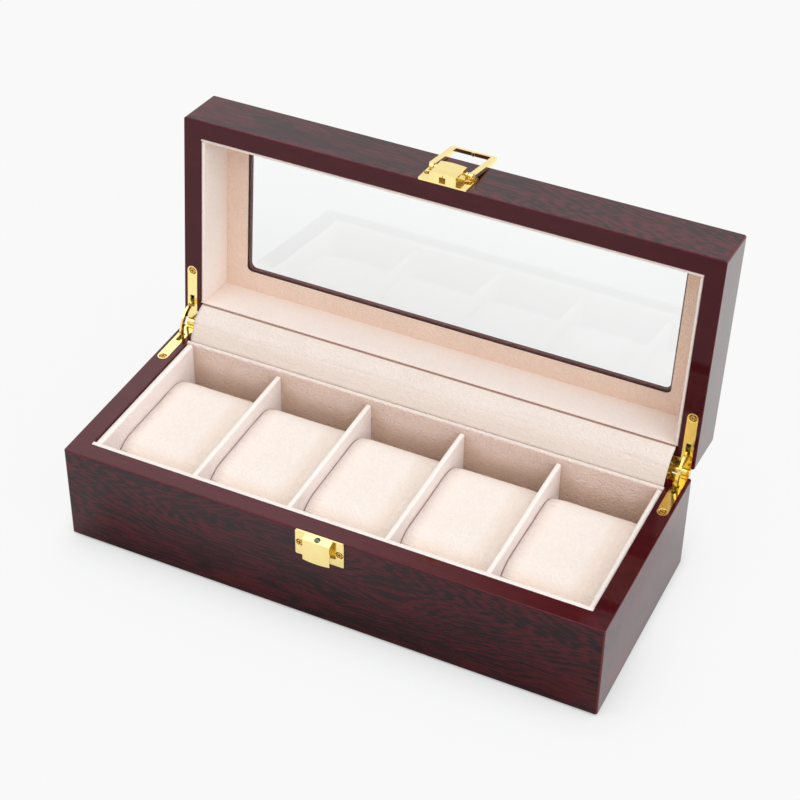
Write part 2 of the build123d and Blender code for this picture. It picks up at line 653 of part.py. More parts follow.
with BuildPart() as catch_plate:
    base_plate(INTO_BASE)
    with BuildSketch(Plane.YZ.offset(LATCH_X)):
        plate_front = -HALF_DEPTH - PLATE_THICKNESS
        hook_front = -HALF_DEPTH - CATCH_REACH
        with BuildLine():
            Polyline(
                (plate_front, RIM),
                (hook_front, CATCH_SHOULDER),
                (hook_front, CATCH_SHOULDER - PLATE_THICKNESS),
                (plate_front, RIM - PLATE_THICKNESS),
                close=True,
            )
        make_face()
    extrude(amount=CATCH_WIDTH / 2, both=True)
    with BuildSketch(CATCH_FRONT):
        left = LATCH_X - CATCH_WIDTH / 2
        right = LATCH_X + CATCH_WIDTH / 2
        lip = RIM - CATCH_LIP
        with BuildLine():
            Polyline((left, lip), (left, CATCH_SHOULDER), (right, CATCH_SHOULDER), (right, lip))
            ThreePointArc((left, lip), (LATCH_X, lip - CATCH_BELLY), (right, lip))
        make_face()
    extrude(amount=-PLATE_THICKNESS)
    fold = catch_plate.edges().filter_by(Axis.X).sort_by(Axis.Y).filter_by(
        lambda edge: abs(edge.center().Z - CATCH_SHOULDER) < 0.01
    )
    fillet(fold[0], PLATE_THICKNESS * 0.8)
    with Locations(STUD_BASE):
        Hole(radius=STUD_SHANK_RADIUS + HELD_CLEARANCE, depth=2 * PLATE_THICKNESS)
save(catch_plate, "catch_plate")

with BuildPart() as catch_stud:
    stud_sphere = (STUD_RADIUS**2 + STUD_HEIGHT**2) / (2 * STUD_HEIGHT)
    with BuildSketch(Plane(STUD_BASE.origin, x_dir=(1, 0, 0), z_dir=(0, -1, -FLANGE_SLOPE))):
        with BuildLine():
            dome = CenterArc(
                (0, STUD_HEIGHT - stud_sphere),
                stud_sphere,
                90,
                -degrees(asin(STUD_RADIUS / stud_sphere)),
            )
            Line(dome @ 1, (STUD_SHANK_RADIUS, 0))
            Line((STUD_SHANK_RADIUS, 0), (STUD_SHANK_RADIUS, -PLATE_THICKNESS))
            Line((STUD_SHANK_RADIUS, -PLATE_THICKNESS), (0, -PLATE_THICKNESS))
            Line((0, -PLATE_THICKNESS), dome @ 0)
        make_face()
    revolve(axis=Axis(STUD_BASE.origin, STUD_BASE.z_dir))
save(catch_stud, "catch_stud")

with BuildPart() as catch_screws:
    for seat in plate_screw_seats(INTO_BASE):
        wood_screw(seat)
save(catch_screws, "catch_screws")

# --- Latch on the lid: a plate folded into a notched hood, and two lugs that carry the loop --------
HOOD_X = HOOD_WIDTH / 2
PIVOT_Y = -HALF_DEPTH - PIVOT_REACH
PIVOT_Z = RIM + PIVOT_RISE
HOOD_TOP_Y = -HALF_DEPTH - HOOD_HEIGHT
LUG_INNER = HOOD_X + LUG_OFFSET
LUG_OUTER = LUG_INNER + LUG_THICKNESS
LOOP_INNER = LUG_OUTER + LOOP_CLEARANCE
LOOP_OUTER = LOOP_INNER + ARM_WIDTH

with BuildPart() as latch_plate:
    base_plate(INTO_LID)
    with BuildSketch(Plane.XY.offset(RIM)):
        with BuildLine():
            shoulder = HOOD_TOP_Y + HOOD_CROWN
            top_arc = ThreePointArc(
                (LATCH_X - HOOD_X, shoulder), (LATCH_X, HOOD_TOP_Y), (LATCH_X + HOOD_X, shoulder)
            )
            Polyline(
                top_arc @ 1,
                (LATCH_X + HOOD_X, shoulder + PLATE_THICKNESS),
            )
            ThreePointArc(
                (LATCH_X + HOOD_X, shoulder + PLATE_THICKNESS),
                (LATCH_X, HOOD_TOP_Y + PLATE_THICKNESS),
                (LATCH_X - HOOD_X, shoulder + PLATE_THICKNESS),
            )
            Line((LATCH_X - HOOD_X, shoulder + PLATE_THICKNESS), top_arc @ 0)
        make_face()
    extrude(amount=HOOD_DEPTH)
    with BuildSketch(Plane.XY.offset(RIM)):
        wall_foot = -HALF_DEPTH - PLATE_THICKNESS
        with BuildLine():
            wall_top = ThreePointArc(
                (LATCH_X - HOOD_X, shoulder), (LATCH_X, HOOD_TOP_Y), (LATCH_X + HOOD_X, shoulder)
            )
            Polyline(
                wall_top @ 1,
                (LATCH_X + HOOD_X, wall_foot),
                (LATCH_X - HOOD_X, wall_foot),
                wall_top @ 0,
            )
        make_face()
        with Locations((LATCH_X, wall_foot - NOTCH_HEIGHT / 2)):
            Rectangle(NOTCH_WIDTH, NOTCH_HEIGHT, mode=Mode.SUBTRACT)
        with Locations((LATCH_X, (wall_foot + HOOD_TOP_Y) / 2)):
            Rectangle(NOTCH_SLIT, wall_foot - HOOD_TOP_Y - 2 * PLATE_THICKNESS, mode=Mode.SUBTRACT)
    extrude(amount=PLATE_THICKNESS)
    for side in SIDES.values():
        with BuildSketch(Plane.YZ.offset(LATCH_X + side * LUG_INNER)):
            with Locations((PIVOT_Y, PIVOT_Z)):
                Circle(LUG_RADIUS)
            with Locations(((PIVOT_Y - HALF_DEPTH - PLATE_THICKNESS / 2) / 2, PIVOT_Z)):
                Rectangle(PIVOT_REACH - PLATE_THICKNESS / 2, 2 * LUG_RADIUS)
            with Locations((PIVOT_Y, PIVOT_Z)):
                Circle(LATCH_PIN_RADIUS + HELD_CLEARANCE, mode=Mode.SUBTRACT)
        extrude(amount=side * LUG_THICKNESS)
open_lid(latch_plate)
save(latch_plate, "latch_plate")

with BuildPart() as latch_pin:
    with BuildSketch(Plane.YZ.offset(LATCH_X)):
        with Locations((PIVOT_Y, PIVOT_Z)):
            Circle(LATCH_PIN_RADIUS)
    extrude(amount=LOOP_INNER + EYE_WIDTH, both=True)
open_lid(latch_pin)
save(latch_pin, "latch_pin")

with BuildPart() as latch_screws:
    for seat in plate_screw_seats(INTO_LID):
        wood_screw(seat)
open_lid(latch_screws)
save(latch_screws, "latch_screws")

# --- Loop: a flat U on eyes at the pivot, folded back over the lid at rest ----------------------------
LEAN = radians(LOOP_LEAN)
LOOP_PLANE = Plane(
    (LATCH_X, PIVOT_Y, PIVOT_Z), x_dir=(1, 0, 0), z_dir=(0, -cos(LEAN), sin(LEAN))
)

with BuildPart() as latch_loop:
    with BuildSketch(LOOP_PLANE.offset(-LOOP_BACK)):
        with Locations((0, (LOOP_LENGTH - LOOP_END) / 2)):
            RectangleRounded(2 * LOOP_OUTER, LOOP_LENGTH + LOOP_END, LOOP_RADIUS)
        inner_length = LOOP_LENGTH - BAR_WIDTH + LOOP_END
        with Locations((0, LOOP_LENGTH - BAR_WIDTH - inner_length / 2)):
            Rectangle(2 * LOOP_INNER, inner_length, mode=Mode.SUBTRACT)
        with Locations((0, LOOP_LENGTH - BAR_WIDTH)):
            Ellipse(NUB_RADIUS, NUB_HEIGHT)
    extrude(amount=LOOP_THICKNESS)
    for side in SIDES.values():
        eye_plane = Plane.YZ.offset(LATCH_X + side * LOOP_INNER)
        with BuildSketch(eye_plane):
            with Locations((PIVOT_Y, PIVOT_Z)):
                Circle(EYE_RADIUS)
        extrude(amount=side * EYE_WIDTH)
        with BuildSketch(eye_plane):
            with Locations((PIVOT_Y, PIVOT_Z)):
                Circle(LATCH_PIN_RADIUS + PIN_CLEARANCE)
        extrude(amount=side * (EYE_WIDTH + PIN_CLEARANCE), mode=Mode.SUBTRACT)
open_lid(latch_loop)
save(latch_loop, "latch_loop")
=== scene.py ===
import math

import bmesh
import bpy
from mathutils import Matrix, Vector, noise


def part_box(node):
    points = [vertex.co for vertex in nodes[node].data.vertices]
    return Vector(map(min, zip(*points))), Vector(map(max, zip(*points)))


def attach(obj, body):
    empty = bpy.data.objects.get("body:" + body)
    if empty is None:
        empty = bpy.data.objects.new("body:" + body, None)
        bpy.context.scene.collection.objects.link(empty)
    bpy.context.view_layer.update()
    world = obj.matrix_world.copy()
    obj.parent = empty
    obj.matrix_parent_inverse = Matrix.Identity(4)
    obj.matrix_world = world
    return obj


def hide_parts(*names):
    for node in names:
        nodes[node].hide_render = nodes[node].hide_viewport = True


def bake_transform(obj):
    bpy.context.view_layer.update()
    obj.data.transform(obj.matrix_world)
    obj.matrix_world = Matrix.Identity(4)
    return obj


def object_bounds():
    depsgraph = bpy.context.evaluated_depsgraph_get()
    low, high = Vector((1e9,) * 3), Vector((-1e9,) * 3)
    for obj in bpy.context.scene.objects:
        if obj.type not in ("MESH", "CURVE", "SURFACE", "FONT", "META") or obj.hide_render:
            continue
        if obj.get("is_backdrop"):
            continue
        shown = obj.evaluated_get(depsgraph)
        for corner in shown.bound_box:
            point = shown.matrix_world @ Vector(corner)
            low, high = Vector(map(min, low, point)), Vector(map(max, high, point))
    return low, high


# Looks for the watch display box: lacquered wood, velvet linings, gilt fittings, five
# stuffed pillows and a cloth strip over the hinge gap. Metres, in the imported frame.

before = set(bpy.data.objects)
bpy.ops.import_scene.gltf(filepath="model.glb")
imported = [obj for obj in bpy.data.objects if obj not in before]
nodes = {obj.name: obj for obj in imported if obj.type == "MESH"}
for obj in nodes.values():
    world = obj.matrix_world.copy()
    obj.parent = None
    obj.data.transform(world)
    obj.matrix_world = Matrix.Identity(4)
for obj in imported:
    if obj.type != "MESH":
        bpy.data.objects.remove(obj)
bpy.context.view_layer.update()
scene = bpy.context.scene

MM = 0.001
LID_OPEN = math.radians(95.4)  # how far the lid stands open at rest
HINGE_Y = 65.3 * MM
HINGE_Z = 60.0 * MM
RIM_Z = 59.0 * MM  # top of the base, where the lid comes down
HALF_LENGTH = 152.5 * MM
HALF_DEPTH = 62.5 * MM

# --- Node helpers ----------------------------------------------------------------------------


class Shader:
    """A node material under construction, ending in one Principled BSDF."""

    def __init__(self, name):
        self.material = bpy.data.materials.new(name)
        self.material.use_nodes = True
        self.tree = self.material.node_tree
        self.tree.nodes.clear()
        self.output = self.add("ShaderNodeOutputMaterial")
        self.bsdf = self.add("ShaderNodeBsdfPrincipled")
        self.link(self.bsdf, 0, self.output, 0)

    def add(self, kind, **settings):
        node = self.tree.nodes.new(kind)
        for key, value in settings.items():
            setattr(node, key, value)
        return node

    def link(self, source, output, target, socket):
        self.tree.links.new(source.outputs[output], target.inputs[socket])

    def put(self, value, node, socket):
        """Link a node to a socket, or set a plain value on it."""
        if value is None:
            return
        if isinstance(value, bpy.types.NodeSocket):
            self.tree.links.new(value, node.inputs[socket])
        else:
            node.inputs[socket].default_value = value

    def set(self, **values):
        """Set sockets of the Principled BSDF, by name with underscores for spaces."""
        for key, value in values.items():
            self.put(value, self.bsdf, key.replace("_", " "))

    def coords(self, output="Object"):
        return self.add("ShaderNodeTexCoord").outputs[output]

    def mapping(self, vector, rotation=(0, 0, 0), scale=(1, 1, 1), location=(0, 0, 0)):
        node = self.add("ShaderNodeMapping")
        self.put(vector, node, "Vector")
        node.inputs["Rotation"].default_value = rotation
        node.inputs["Scale"].default_value = scale
        node.inputs["Location"].default_value = location
        return node.outputs[0]

    def noise(self, vector, scale, detail=2.0, roughness=0.5):
        node = self.add("ShaderNodeTexNoise")
        self.put(vector, node, "Vector")
        node.inputs["Scale"].default_value = scale
        node.inputs["Detail"].default_value = detail
        node.inputs["Roughness"].default_value = roughness
        return node.outputs["Fac"]

    def math(self, operation, a, b=None, c=None):
        node = self.add("ShaderNodeMath", operation=operation)
        for index, value in enumerate((a, b, c)):
            self.put(value, node, index)
        return node.outputs[0]

    def vector_math(self, operation, a, b=None):
        node = self.add("ShaderNodeVectorMath", operation=operation)
        self.put(a, node, 0)
        self.put(b, node, 1)
        return node.outputs["Value" if operation == "LENGTH" else "Vector"]

    def smooth(self, value, low, high):
        """Smooth step from 0 at low to 1 at high."""
        node = self.add("ShaderNodeMapRange", interpolation_type="SMOOTHSTEP")
        self.put(value, node, "Value")
        node.inputs["From Min"].default_value = low
        node.inputs["From Max"].default_value = high
        return node.outputs[0]

    def mix(self, factor, a, b):
        """Mix two colours."""
        node = self.add("ShaderNodeMix", data_type="RGBA")
        self.put(factor, node, 0)
        for value, socket in ((a, 6), (b, 7)):
            if isinstance(value, bpy.types.NodeSocket):
                self.put(value, node, socket)
            else:
                node.inputs[socket].default_value = (*value, 1.0)
        return node.outputs[2]

    def split(self, vector):
        node = self.add("ShaderNodeSeparateXYZ")
        self.put(vector, node, 0)
        return node.outputs

    def join(self, x, y, z):
        node = self.add("ShaderNodeCombineXYZ")
        for index, value in enumerate((x, y, z)):
            self.put(value, node, index)
        return node.outputs[0]

    def crevice(self, distance, low=0.35, high=0.85):
        """1 deep in a gap or corner narrower than distance, 0 in the open."""
        node = self.add("ShaderNodeAmbientOcclusion", samples=6)
        node.inputs["Distance"].default_value = distance
        return self.smooth(self.math("SUBTRACT", 1.0, node.outputs["AO"]), low, high)

    def bump(self, height, distance, strength=1.0):
        node = self.add("ShaderNodeBump")
        self.put(height, node, "Height")
        node.inputs["Distance"].default_value = distance
        node.inputs["Strength"].default_value = strength
        return node.outputs[0]


# --- Materials -------------------------------------------------------------------------------


def tinted(color, factors):
    """A colour times a factor for each of its channels."""
    return tuple(c * f for c, f in zip(color, factors))


WOOD_REDS = ((0.058, 0.0046, 0.0076), (0.116, 0.0088, 0.0112))
WOOD_DARK = (0.0120, 0.0038, 0.0045)
WOOD_RIMS = ((0.066, 0.0045, 0.0064), (0.080, 0.0056, 0.0070))
WOOD_EDGE = (0.20, 0.020, 0.018)  # worn tone along the edges
LACQUER_TINT = (0.45, 0.34, 0.39)
RING_STRETCH = 5.3  # rings are this much longer along the grain than across it
RING_PITCH = 1.9 * MM  # ring to ring, across the grain
TEAR = 36 * MM  # how far rings are torn along the grain
SWELL = 22 * MM  # and wander across it
RING_DRIFT = 9.0  # radians by which their spacing drifts
RING_CONTRAST = 0.07  # how far a ring darkens the wood where it runs along the grain
STEEP_CONTRAST = 0.15  # and how much further where it runs across it
STREAK_CONTRAST = 1.15
PATCH_CONTRAST = 0.8
DARK_MIDDLE = 0.56  # what rings, streaks and patches vary about
DARK_SPAN = (0.27, 0.78)  # from all red to all dark
EDGE_SPAN = (0.97, 0.80)  # a normal's largest share, where a rounded edge begins and is full
EDGE_WEAR = 0.45
END_FACE = HALF_LENGTH - 1 * MM  # beyond these, a face is on the outside of the case
LONG_FACE = HALF_DEPTH - 1 * MM
FACING = 0.6  # a normal's share along an axis at which a face counts as facing that way
FACING_SPAN = (0.5, 0.9)
SHEET_STEP_X, SHEET_STEP_Y = 3.1, 1.7  # how far apart in the veneer two faces are cut


def wood(name, turn, heart, rim_side, rim_tone, red_tone, sheet):
    """High-gloss lacquered rosewood veneer: long nested rings round a heart, torn along the
    grain, which runs along each panel. The rims and all inner faces are plain. turn is the angle
    that brings the panels back from their place in the frame, rim_side the sign of Z that their
    rims then face, and sheet picks the stretch of veneer."""
    s = Shader(name)
    place = s.mapping(s.coords(), rotation=(turn, 0, 0))
    normal = s.mapping(s.coords("Normal"), rotation=(turn, 0, 0))
    nx, ny, nz = s.split(normal)
    ax, ay, az = (s.math("ABSOLUTE", n) for n in (nx, ny, nz))
    x, y, z = s.split(place)
    # The grain runs along X, or along Y on end faces, and Z is across it, or Y on flat faces.
    on_end = s.math("GREATER_THAN", ax, FACING)
    on_top = s.math("GREATER_THAN", az, FACING)
    along = s.math("MULTIPLY_ADD", on_end, s.math("SUBTRACT", y, x), x)
    across = s.math("MULTIPLY_ADD", on_top, s.math("SUBTRACT", y, z), z)
    face = s.math("MULTIPLY_ADD", s.math("ROUND", ny), SHEET_STEP_Y, sheet)
    face = s.math("MULTIPLY_ADD", s.math("ROUND", nx), SHEET_STEP_X, face)
    grain = s.join(along, across, face)

    def drift(along_scale, across_scale, detail, roughness, where=(0, 0, 0)):
        """Noise about 0, stretched along the grain."""
        stretched = s.mapping(grain, scale=(along_scale, across_scale, 1), location=where)
        return s.math("SUBTRACT", s.noise(stretched, 1.0, detail, roughness), 0.5)

    # Rings round the heart, with a stronger contrast where they run across the grain.
    tear = s.math("MULTIPLY", drift(26, 330, 3.0, 0.62), TEAR)
    swell = s.math("MULTIPLY", drift(17, 42, 1.0, 0.5), SWELL)
    a = s.math("SUBTRACT", s.math("ADD", along, tear), heart[0])
    a = s.math("MULTIPLY", a, 1 / RING_STRETCH)
    b = s.math("ADD", s.math("SUBTRACT", across, heart[1]), swell)
    radius = s.math("SQRT", s.math("ADD", s.math("MULTIPLY", a, a), s.math("MULTIPLY", b, b)))
    steep = s.math("DIVIDE", s.math("ABSOLUTE", a), radius)
    uneven = s.math("MULTIPLY", drift(9, 30, 1.0, 0.5, (1, 7, 0)), RING_DRIFT)
    wave = s.math("SINE", s.math("MULTIPLY_ADD", radius, 2 * math.pi / RING_PITCH, uneven))
    contrast = s.math("MULTIPLY_ADD", steep, STEEP_CONTRAST, RING_CONTRAST)
    dark = s.math("MULTIPLY_ADD", wave, contrast, DARK_MIDDLE)
    dark = s.math("MULTIPLY_ADD", drift(95, 760, 2.0, 0.68), STREAK_CONTRAST, dark)
    dark = s.math("MULTIPLY_ADD", drift(26, 110, 2.0, 0.5, (5, 2, 0)), PATCH_CONTRAST, dark)
    dark = s.smooth(dark, *DARK_SPAN)
    fibre = s.noise(s.mapping(grain, scale=(90, 2400, 1)), 1.0, 1.0, 0.6)
    red = s.mix(fibre, *(tinted(tone, (red_tone,) * 3) for tone in WOOD_REDS))
    figure = s.mix(dark, red, WOOD_DARK)
    smudge = s.smooth(s.noise(s.mapping(grain, scale=(60, 220, 1)), 1.0, 3.0, 0.6), 0.42, 0.72)
    plain = s.mix(smudge, *(tinted(tone, (rim_tone,) * 3) for tone in WOOD_RIMS))
    # The figure is on the outside only: the ends, front and back, and the side behind the rims.
    end = s.math("GREATER_THAN", s.math("ABSOLUTE", x), END_FACE)
    end = s.math("MULTIPLY", end, s.smooth(ax, *FACING_SPAN))
    # The turn is about the frame's origin and leaves the panels' middle at this y.
    middle = math.cos(turn) * HINGE_Y - math.sin(turn) * HINGE_Z - HINGE_Y
    from_middle = s.math("ABSOLUTE", s.math("SUBTRACT", y, middle))
    front = s.math("GREATER_THAN", from_middle, LONG_FACE)
    front = s.math("MULTIPLY", front, s.smooth(ay, *FACING_SPAN))
    behind = s.smooth(s.math("MULTIPLY", nz, -rim_side), *FACING_SPAN)
    outside = s.math("MAXIMUM", s.math("MAXIMUM", end, front), behind)
    color = s.mix(outside, plain, figure)
    largest = s.math("MAXIMUM", ax, s.math("MAXIMUM", ay, az))
    edge = s.smooth(largest, *EDGE_SPAN)
    color = s.mix(s.math("MULTIPLY", edge, EDGE_WEAR), color, WOOD_EDGE)
    s.set(Base_Color=color, Roughness=0.06, IOR=1.6)
    s.bsdf.inputs["Specular Tint"].default_value = (*LACQUER_TINT, 1.0)
    ripple = s.noise(place, 90.0, 2.0, 0.4)
    s.set(Normal=s.bump(ripple, 0.06 * MM, 0.5))
    return s.material


NAP_SCALE = 1500.0
NAP_HEIGHT = 0.6 * MM
MEETING_SHADE_REACH = 1.1 * MM  # gaps narrower than this, where pieces meet, get painted shade
CORNER_SHADE_REACH = 14 * MM  # how far from a corner the cloth's painted shade begins
TOP_LIGHT_SPAN = (0.45, 0.9)  # a normal's Z, from where cloth begins to face up and take the painted light
SLOPE_SPAN = (0.99, 0.80)  # and from where a cushion begins to slope
GATHER_SPAN = (13 * MM, 25 * MM)  # from a cushion's middle: where puckers and the painted shade towards the ends begin and are full
LEFT_SHADE_SPAN = (-17 * MM, -25 * MM)  # a pinker strip of painted shade along a cushion's left seam
LEFT_SHADE = (0.80, 0.71, 0.67)
VALLEY_RISE = (9 * MM, 15 * MM)  # the painted shade in a cushion's crease begins and is full, from its middle
VALLEY_FALL = (23 * MM, 17 * MM)  # and ends and is still full
SEAM_SPAN = (0.972, 0.994)  # share of the way over the hinge gap, where the painted seam shadow begins and is full
# along the strip, where the painted shade of its half nearer the base begins and is full
LOWER_SHADE_SPAN = (0.50, 0.46)


def velvet(
    name,
    color,
    shade,
    pebble=1.0,
    sheen=0.12,
    gathered_shade=None,
    corner_shade=None,
    top_light=None,
    seam=None,
):
    """Short-pile cloth: a pebbly nap with slow drifts of tone, and painted shade where pieces
    meet. On a cushion the nap puckers towards both end seams; warmer painted shade lies on its
    slopes and ends and in its crease, and pinker painted shade along its left seam. Painted
    shade comes up wherever the cloth lies in a corner, and painted light on what faces up. The
    strip over the hinge gap has a painted seam shadow at its upper edge and painted shade on
    its half nearer the base."""
    s = Shader(name)
    place = s.coords()
    nap = s.noise(place, NAP_SCALE, 3.0, 0.6)
    tuft = s.noise(place, NAP_SCALE * 0.5, 2.0, 0.5)
    drift = s.noise(place, 38.0, 3.0, 0.55)
    tone = s.math("MULTIPLY_ADD", nap, 0.35, s.math("MULTIPLY", tuft, 0.50))
    tone = s.math("MULTIPLY_ADD", drift, 0.30, tone)
    base = s.mix(s.smooth(tone, 0.34, 0.80), shade, color)
    height = s.math("MULTIPLY_ADD", tuft, 1.0, s.math("MULTIPLY", nap, 0.3))
    # Painted shade wherever the cloth lies in a corner.
    if corner_shade:
        base = s.mix(s.crevice(CORNER_SHADE_REACH, 0.06, 0.5), base, corner_shade)
    # Painted light: a paler tone on what faces up.
    if top_light:
        up = s.split(s.coords("Normal"))[2]
        base = s.mix(s.smooth(up, *TOP_LIGHT_SPAN), base, top_light)
    if seam:
        along = s.add("ShaderNodeAttribute", attribute_name="along").outputs["Fac"]
        # Painted shade on the strip's half nearer the base, with a ragged edge.
        stray = s.noise(s.mapping(place, scale=(60, 8, 8)), 1.0, 3.0, 0.6)
        lower_shade = s.math("MULTIPLY_ADD", stray, 0.06, along)
        lower_shade = s.smooth(lower_shade, *LOWER_SHADE_SPAN)
        base = s.mix(s.math("MULTIPLY", lower_shade, 0.6), base, shade)
        # Painted shadow along the strip's upper seam, where it meets the lid's lining.
        base = s.mix(s.smooth(along, *SEAM_SPAN), base, seam)
    if gathered_shade:
        x = s.split(place)[0]
        up = s.split(s.coords("Normal"))[2]
        # Painted shade, warmer, on the cushion's slopes and towards both its ends.
        slope = s.smooth(up, *SLOPE_SPAN)
        reach = s.smooth(s.math("ABSOLUTE", x), *GATHER_SPAN)
        warm = s.math("MAXIMUM", s.math("MULTIPLY", slope, 0.75), s.math("MULTIPLY", reach, 0.5))
        base = s.mix(warm, base, gathered_shade)
        # Painted shade along the cushion's crease, patchy.
        valley_shade = s.math("MULTIPLY", s.smooth(x, *VALLEY_RISE), s.smooth(x, *VALLEY_FALL))
        valley_shade = s.math("MULTIPLY", valley_shade, s.math("MULTIPLY", drift, 0.5))
        base = s.mix(valley_shade, base, tinted(gathered_shade, (0.90, 0.84, 0.78)))
        # Painted shade along the cushion's left seam.
        left = s.math("MULTIPLY", s.smooth(x, *LEFT_SHADE_SPAN), s.smooth(up, 0.1, 0.8))
        base = s.mix(s.math("MULTIPLY", left, 0.8), base, LEFT_SHADE)
        pucker = s.noise(s.mapping(place, scale=(110, 620, 620)), 1.0, 2.0, 0.6)
        height = s.math("MULTIPLY_ADD", s.math("MULTIPLY", pucker, reach), 3.0, height)
    # Painted shade in the narrow gaps where pieces meet.
    meeting_shade = s.math("MULTIPLY", s.crevice(MEETING_SHADE_REACH), 0.45)
    base = s.mix(meeting_shade, base, tinted(shade, (0.55, 0.36, 0.33)))
    s.set(Base_Color=base, Roughness=0.92, Specular_IOR_Level=0.12)
    s.set(Sheen_Weight=sheen, Sheen_Roughness=0.5)
    s.bsdf.inputs["Sheen Tint"].default_value = (*color, 1.0)
    s.set(Normal=s.bump(height, NAP_HEIGHT * pebble, 0.9))
    return s.material


GAP_REACH = 6.0 * MM  # brass this close to another face is in a gap, where it gets painted bounce light
SLOT_REACH = 0.6 * MM  # and this close, in a slot, where it gets painted shade


def gilt(name, color):
    """Polished gilt brass with faint polishing marks, umber painted shade in its slots and amber
    painted bounce light in its gaps.
    """
    s = Shader(name)
    place = s.coords()
    cloud = s.noise(place, 160.0, 3.0, 0.6)
    rub = s.noise(s.mapping(place, scale=(300, 2600, 300)), 1.0, 2.0, 0.6)
    worn = tinted(color, (0.97, 0.94, 0.88))
    tone = s.mix(s.smooth(cloud, 0.35, 0.75), color, worn)
    # Painted bounce light: gaps turn a deeper amber.
    gap = s.crevice(GAP_REACH, 0.35, 0.75)
    amber = tinted(color, (1.0, 0.97, 0.36))
    tone = s.mix(s.math("MULTIPLY", gap, 0.85), tone, amber)
    # Painted shade: slots turn umber.
    slot = s.crevice(SLOT_REACH, 0.25, 0.60)
    umber = tinted(color, (0.30, 0.16, 0.06))
    tone = s.mix(s.math("MULTIPLY", slot, 0.9), tone, umber)
    s.set(Base_Color=tone, IOR=1.5)
    # Half matt in its gaps, where a mirror would show only dark.
    s.set(Metallic=s.math("MULTIPLY_ADD", gap, -0.45, 1.0))
    s.set(Roughness=s.math("MULTIPLY_ADD", rub, 0.08, 0.08))
    s.set(Normal=s.bump(cloud, 0.02 * MM, 0.5))
    return s.material


def clear_glass(name):
    """Faintly smeared clear pane that lets light through for shadow rays."""
    s = Shader(name)
    s.set(Base_Color=(0.975, 0.985, 0.98, 1.0), Roughness=0.0, IOR=1.45, Transmission_Weight=1.0)
    smear = s.noise(s.coords(), 9.0, 4.0, 0.6)
    s.set(Roughness=s.math("MULTIPLY", s.smooth(smear, 0.5, 0.8), 0.02))
    see_through = s.add("ShaderNodeBsdfTransparent")
    see_through.inputs[0].default_value = (0.955, 0.965, 0.96, 1.0)
    path = s.add("ShaderNodeLightPath")
    mix = s.add("ShaderNodeMixShader")
    s.put(path.outputs["Is Shadow Ray"], mix, 0)
    s.link(s.bsdf, 0, mix, 1)
    s.link(see_through, 0, mix, 2)
    s.link(mix, 0, s.output, 0)
    return s.material


def felt(name):
    """Black felt pad with a coarse fuzz."""
    s = Shader(name)
    place = s.coords()
    fuzz = s.noise(place, 900.0, 4.0, 0.7)
    s.set(Base_Color=s.mix(fuzz, (0.012, 0.011, 0.012), (0.035, 0.03, 0.03)), Roughness=1.0)
    s.set(Normal=s.bump(fuzz, 0.3 * MM, 0.8))
    return s.material


def steel(name):
    """Polished grey-green steel of the catch's stud."""
    s = Shader(name)
    cloud = s.noise(s.coords(), 700.0, 3.0, 0.6)
    s.set(Base_Color=s.mix(cloud, (0.10, 0.115, 0.065), (0.20, 0.21, 0.13)), Metallic=1.0)
    s.set(Roughness=0.16, Normal=s.bump(cloud, 0.04 * MM, 0.6))
    return s.material


BASE_HEART = (-12 * MM, 47 * MM)  # where the rings' heart is, along and across the grain
LID_HEART = (-100 * MM, 55 * MM)
WOOD_BASE = wood(
    "wood_base", 0.0, BASE_HEART, rim_side=1.0, rim_tone=1.0, red_tone=0.84, sheet=0.3
)
# A copy of the base wood for the right end: its rims darker, as painted shade, and its figure
# redder.
WOOD_BASE_RIGHT_SHADED = wood(
    "wood_base_right_shaded", 0.0, BASE_HEART, rim_side=1.0, rim_tone=0.78, red_tone=1.45, sheet=0.3
)
WOOD_LID = wood(
    "wood_lid", LID_OPEN, LID_HEART, rim_side=-1.0, rim_tone=0.76, red_tone=1.06, sheet=5.3
)
VELVET = velvet(
    "velvet_lining", (0.925, 0.845, 0.81), (0.865, 0.765, 0.72), top_light=(0.96, 0.895, 0.84)
)
# A lighter copy of the lining cloth for the lid: painted light.
VELVET_LID_LIT = velvet(
    "velvet_lid_lit", (0.97, 0.885, 0.83), (0.93, 0.82, 0.755), corner_shade=(0.915, 0.785, 0.70)
)
# Its seam tone is a painted shadow; its shade tone also paints the shade on the strip's half nearer
# the base.
VELVET_COVER = velvet(
    "velvet_cover", (0.912, 0.835, 0.785), (0.845, 0.735, 0.66), seam=(0.42, 0.25, 0.20)
)
# Warmer than the other linings: partly its own cloth, partly painted bounce light of its shaded
# place.
VELVET_BACK = velvet(
    "velvet_back",
    (0.98, 0.82, 0.735),
    (0.89, 0.70, 0.61),
    pebble=2.6,
    corner_shade=(0.72, 0.53, 0.42),
    top_light=(0.96, 0.88, 0.82),
)
VELVET_MAT = velvet("velvet_mat", (0.97, 0.775, 0.655), (0.90, 0.685, 0.56), pebble=1.5)
VELVET_PILLOW = velvet(
    "velvet_pillow",
    (0.935, 0.872, 0.818),
    (0.885, 0.80, 0.73),
    sheen=0.05,
    # the tone of the painted shade on the cushion's slopes and ends
    gathered_shade=(0.93, 0.79, 0.67),
)
GILT = gilt("gilt", (1.0, 0.825, 0.37))
# A deeper amber copy of the gilt for the right hinge and stay: a painted reflection of darker
# surroundings.
GILT_DARK_REFLECTION = gilt("gilt_dark_reflection", (0.94, 0.715, 0.20))
STEEL = steel("steel")
GLASS = clear_glass("glass")
FELT = felt("felt")


